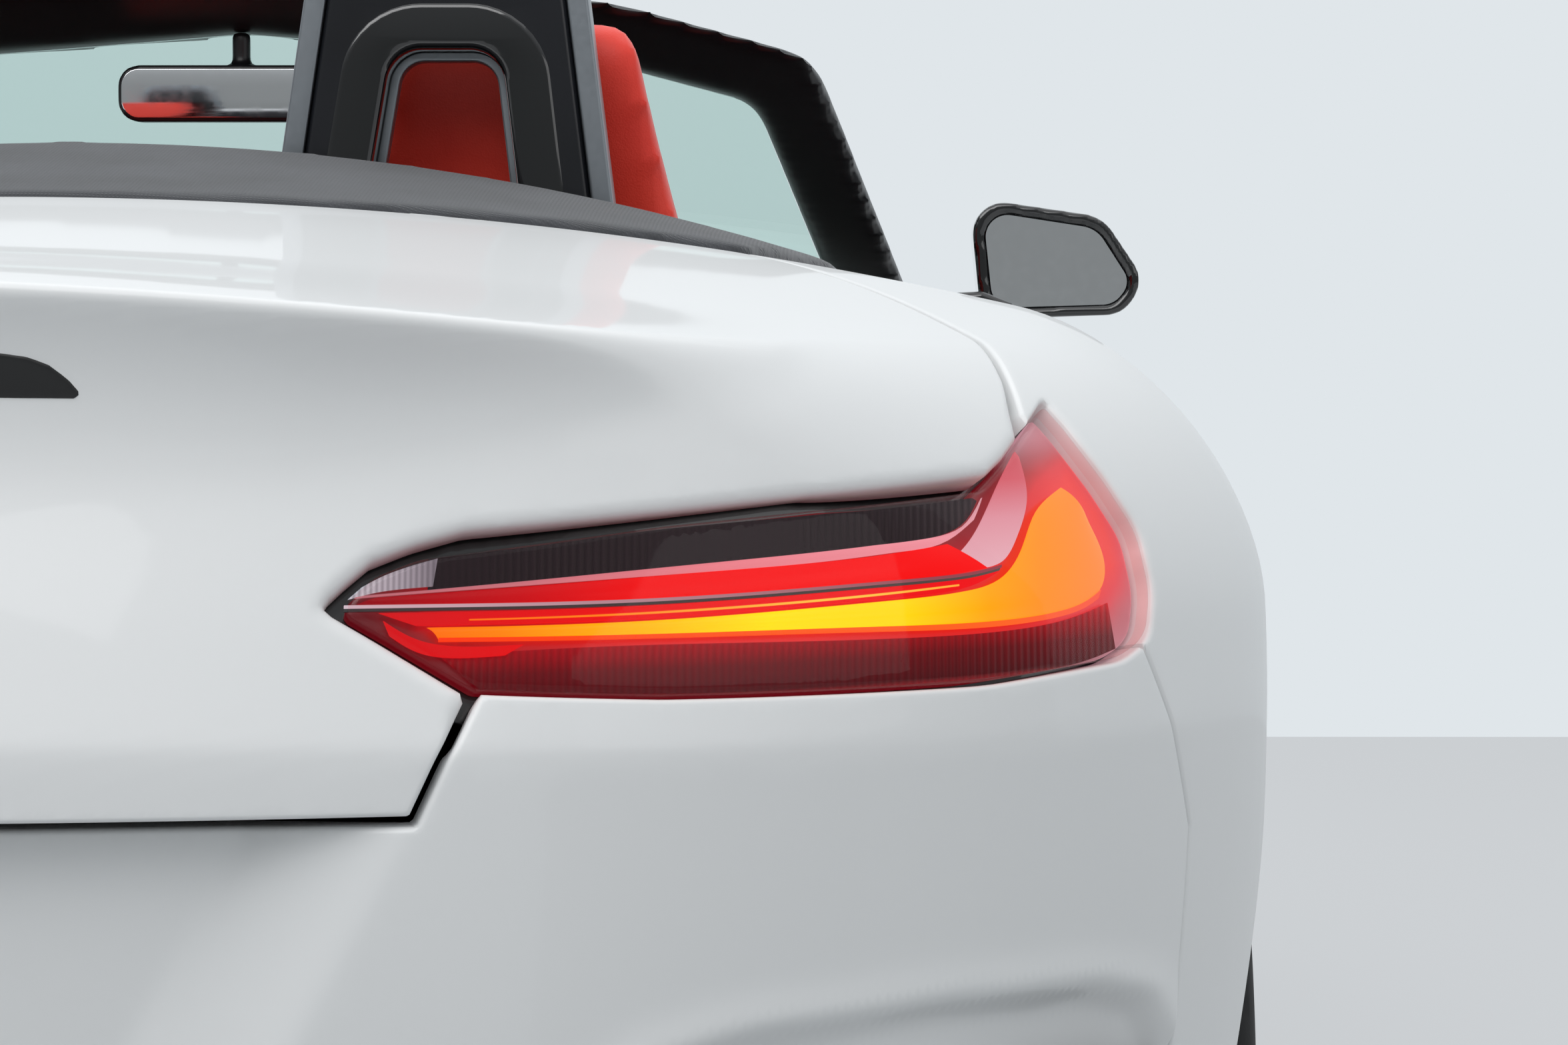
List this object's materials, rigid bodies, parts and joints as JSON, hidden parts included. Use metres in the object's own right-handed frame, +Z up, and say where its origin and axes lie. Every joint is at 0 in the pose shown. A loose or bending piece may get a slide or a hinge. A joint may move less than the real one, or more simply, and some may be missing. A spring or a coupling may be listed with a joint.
{
  "type": "two-seat roadster convertible",
  "caption": "Open roadster with its cloth top folded under a cover, roll hoops behind the seats, a ducktail boot lid, wide wrap-round tail lamps and steered front wheels.",
  "frame": {"origin": "on the floor, under the middle of the bounding box", "axes": "+Y points forward, +X to the car's right, +Z up"},
  "size_m": [1.955, 4.3257, 1.291],
  "materials": {
    "white_paint": "gloss",
    "red_lens": "gloss",
    "smoked_lens": "gloss",
    "clear_lens": "gloss",
    "black_plastic": "matte",
    "black_gloss": "gloss",
    "black_soft": "matte",
    "black_leather": "satin",
    "red_leather": "satin",
    "grey_cloth": "matte",
    "tinted_glass": "gloss",
    "mirror_face": "gloss",
    "underbody": "satin",
    "cast_metal": "matte",
    "steel": "satin",
    "rim_metal": "satin",
    "tyre_rubber": "matte"
  },
  "bodies": {
    "body_shell": {"air_grilles": "black_plastic", "boot_floor": "underbody", "centre_console": "black_soft", "cowl_panel": "white_paint", "dashboard": "black_soft", "engine_block": "cast_metal", "exhaust": "steel", "firewall": "underbody", "floor_pan": "underbody", "front_bumper": "white_paint", "front_rails": "underbody", "front_subframe": "cast_metal", "front_wing_left": "white_paint", "front_wing_right": "white_paint", "headlamps": "clear_lens", "interior_mirror": "black_plastic", "quarter_left": "white_paint", "quarter_right": "white_paint", "radiator": "cast_metal", "rear_bulkhead": "underbody", "rear_bumper": "white_paint", "rear_diffuser": "black_plastic", "rear_subframe": "cast_metal", "roll_hoops": "black_gloss", "seat_left": "red_leather", "seat_right": "red_leather", "tail_lamps": "red_lens", "tonneau_cover": "grey_cloth", "windscreen_frame": "black_gloss", "windscreen_glass": "tinted_glass"},
    "bonnet": {"bonnet": "white_paint"},
    "boot_lid": {"boot_lid": "white_paint", "high_stop_lamp": "smoked_lens"},
    "steering_wheel": {"steering_wheel": "black_leather"},
    "door_right": {"door_right": "white_paint", "mirror_right": "black_gloss", "mirror_glass_right": "mirror_face"},
    "knuckle_right": {"knuckle_right": "cast_metal"},
    "wheel_front_right": {"tyre_front_right": "tyre_rubber", "rim_front_right": "rim_metal", "brake_disc_front_right": "steel"},
    "wheel_rear_right": {"tyre_rear_right": "tyre_rubber", "rim_rear_right": "rim_metal", "brake_disc_rear_right": "steel"},
    "door_left": {"door_left": "white_paint", "mirror_left": "black_gloss", "mirror_glass_left": "mirror_face"},
    "knuckle_left": {"knuckle_left": "cast_metal"},
    "wheel_front_left": {"tyre_front_left": "tyre_rubber", "rim_front_left": "rim_metal", "brake_disc_front_left": "steel"},
    "wheel_rear_left": {"tyre_rear_left": "tyre_rubber", "rim_rear_left": "rim_metal", "brake_disc_rear_left": "steel"}
  },
  "joints": [
    {"name": "bonnet_hinge", "type": "hinge", "parent": "body_shell", "child": "bonnet", "pos_m": [0, 0.78, 0.925], "axis": [1, 0, 0], "range_deg": [0, 45]},
    {"name": "boot_hinge", "type": "hinge", "parent": "body_shell", "child": "boot_lid", "pos_m": [0, -1.1, 1.02], "axis": [-1, 0, 0], "range_deg": [0, 62]},
    {"name": "door_hinge_right", "type": "hinge", "parent": "body_shell", "child": "door_right", "pos_m": [0.885, 0.6, 0.5], "axis": [0, 0, 1], "range_deg": [0, 65]},
    {"name": "door_hinge_left", "type": "hinge", "parent": "body_shell", "child": "door_left", "pos_m": [-0.885, 0.6, 0.5], "axis": [0, 0, -1], "range_deg": [0, 65]},
    {"name": "steer_left", "type": "hinge", "parent": "body_shell", "child": "knuckle_left", "pos_m": [-0.71, 1.295, 0.333], "axis": [0, 0, 1], "range_deg": [-33, 33]},
    {"name": "steer_right", "type": "hinge", "parent": "body_shell", "child": "knuckle_right", "pos_m": [0.71, 1.295, 0.333], "axis": [0, 0, 1], "range_deg": [-33, 33]},
    {"name": "steering_wheel_turn", "type": "hinge", "parent": "body_shell", "child": "steering_wheel", "pos_m": [-0.352, 0.16, 0.79], "axis": [0, -0.9135, 0.4067], "range_deg": [-463, 463]},
    {"name": "wheel_turn_front_right", "type": "hinge", "parent": "knuckle_right", "child": "wheel_front_right", "pos_m": [0.768, 1.295, 0.333], "axis": [1, 0, 0], "continuous": true},
    {"name": "wheel_turn_rear_right", "type": "hinge", "parent": "body_shell", "child": "wheel_rear_right", "pos_m": [0.78, -1.175, 0.333], "axis": [1, 0, 0], "continuous": true},
    {"name": "wheel_turn_front_left", "type": "hinge", "parent": "knuckle_left", "child": "wheel_front_left", "pos_m": [-0.768, 1.295, 0.333], "axis": [1, 0, 0], "continuous": true},
    {"name": "wheel_turn_rear_left", "type": "hinge", "parent": "body_shell", "child": "wheel_rear_left", "pos_m": [-0.78, -1.175, 0.333], "axis": [1, 0, 0], "continuous": true}
  ],
  "couplings": [
    {"joint": "steer_right", "follows": "steer_left", "ratio": 1},
    {"joint": "steering_wheel_turn", "follows": "steer_left", "ratio": 14}
  ]
}
